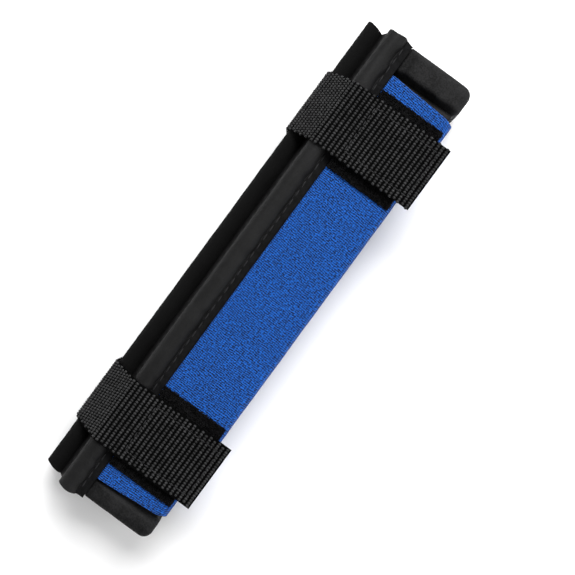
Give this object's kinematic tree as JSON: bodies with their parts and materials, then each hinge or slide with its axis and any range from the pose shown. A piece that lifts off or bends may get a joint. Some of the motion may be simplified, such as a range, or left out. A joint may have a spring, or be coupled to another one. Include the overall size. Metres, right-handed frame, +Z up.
{
  "type": "golf swing trainer weight",
  "caption": "Wrap-around golf club swing weight: blue neoprene over a split foam core, a flap with steel rods in black sleeves, and webbing straps with hook-and-loop ends.",
  "frame": {"origin": "below the middle of the closed wrap, on the surface that the straps' backs rest on", "axes": "+X right across the wrap, from the rod flap towards the folded side; +Y along the club's shaft; +Z up, out of the front with the straps' ends"},
  "size_m": [0.051, 0.1914, 0.0299],
  "materials": {
    "foam": "matte",
    "grip_rubber": "matte",
    "blue_neoprene": "matte",
    "coated_fabric": "satin",
    "steel": "satin",
    "plug_rubber": "matte",
    "webbing": "matte",
    "hook_tape": "matte",
    "loop_tape": "matte"
  },
  "bodies": {
    "rear_half": {"rear_pad": "foam", "rear_grip_liner": "grip_rubber", "neoprene_back": "blue_neoprene", "upper_strap_back": "webbing", "lower_strap_back": "webbing"},
    "front_half": {"front_pad": "foam", "front_grip_liner": "grip_rubber", "neoprene_front": "blue_neoprene", "upper_loop_patch": "loop_tape", "lower_loop_patch": "loop_tape"},
    "rod_flap": {"flap_cover": "coated_fabric", "flap_lining": "coated_fabric", "outer_weight_rod": "steel", "inner_weight_rod": "steel", "outer_rod_upper_plug": "plug_rubber", "outer_rod_lower_plug": "plug_rubber", "inner_rod_upper_plug": "plug_rubber", "inner_rod_lower_plug": "plug_rubber", "upper_strap_side": "webbing", "lower_strap_side": "webbing"},
    "upper_strap": {"upper_strap_front": "webbing", "upper_hook_tab": "hook_tape"},
    "lower_strap": {"lower_strap_front": "webbing", "lower_hook_tab": "hook_tape"}
  },
  "joints": [
    {"name": "flap_open", "type": "hinge", "parent": "rear_half", "child": "rod_flap", "pos_m": [-0.0235, 0, 0.00195], "axis": [0, -1, 0], "range_deg": [0, 90]},
    {"name": "front_half_open", "type": "hinge", "parent": "rear_half", "child": "front_half", "pos_m": [0.0211, 0, 0.014], "axis": [0, 1, 0], "range_deg": [0, 54]},
    {"name": "upper_strap_peel", "type": "hinge", "parent": "rod_flap", "child": "upper_strap", "pos_m": [-0.0122, 0.0606, 0.0299], "axis": [0, -1, 0], "range_deg": [0, 110]},
    {"name": "lower_strap_peel", "type": "hinge", "parent": "rod_flap", "child": "lower_strap", "pos_m": [-0.0122, -0.064, 0.0299], "axis": [0, -1, 0], "range_deg": [0, 110]}
  ],
  "couplings": [
    {"joint": "front_half_open", "follows": "flap_open", "ratio": 0.6}
  ]
}
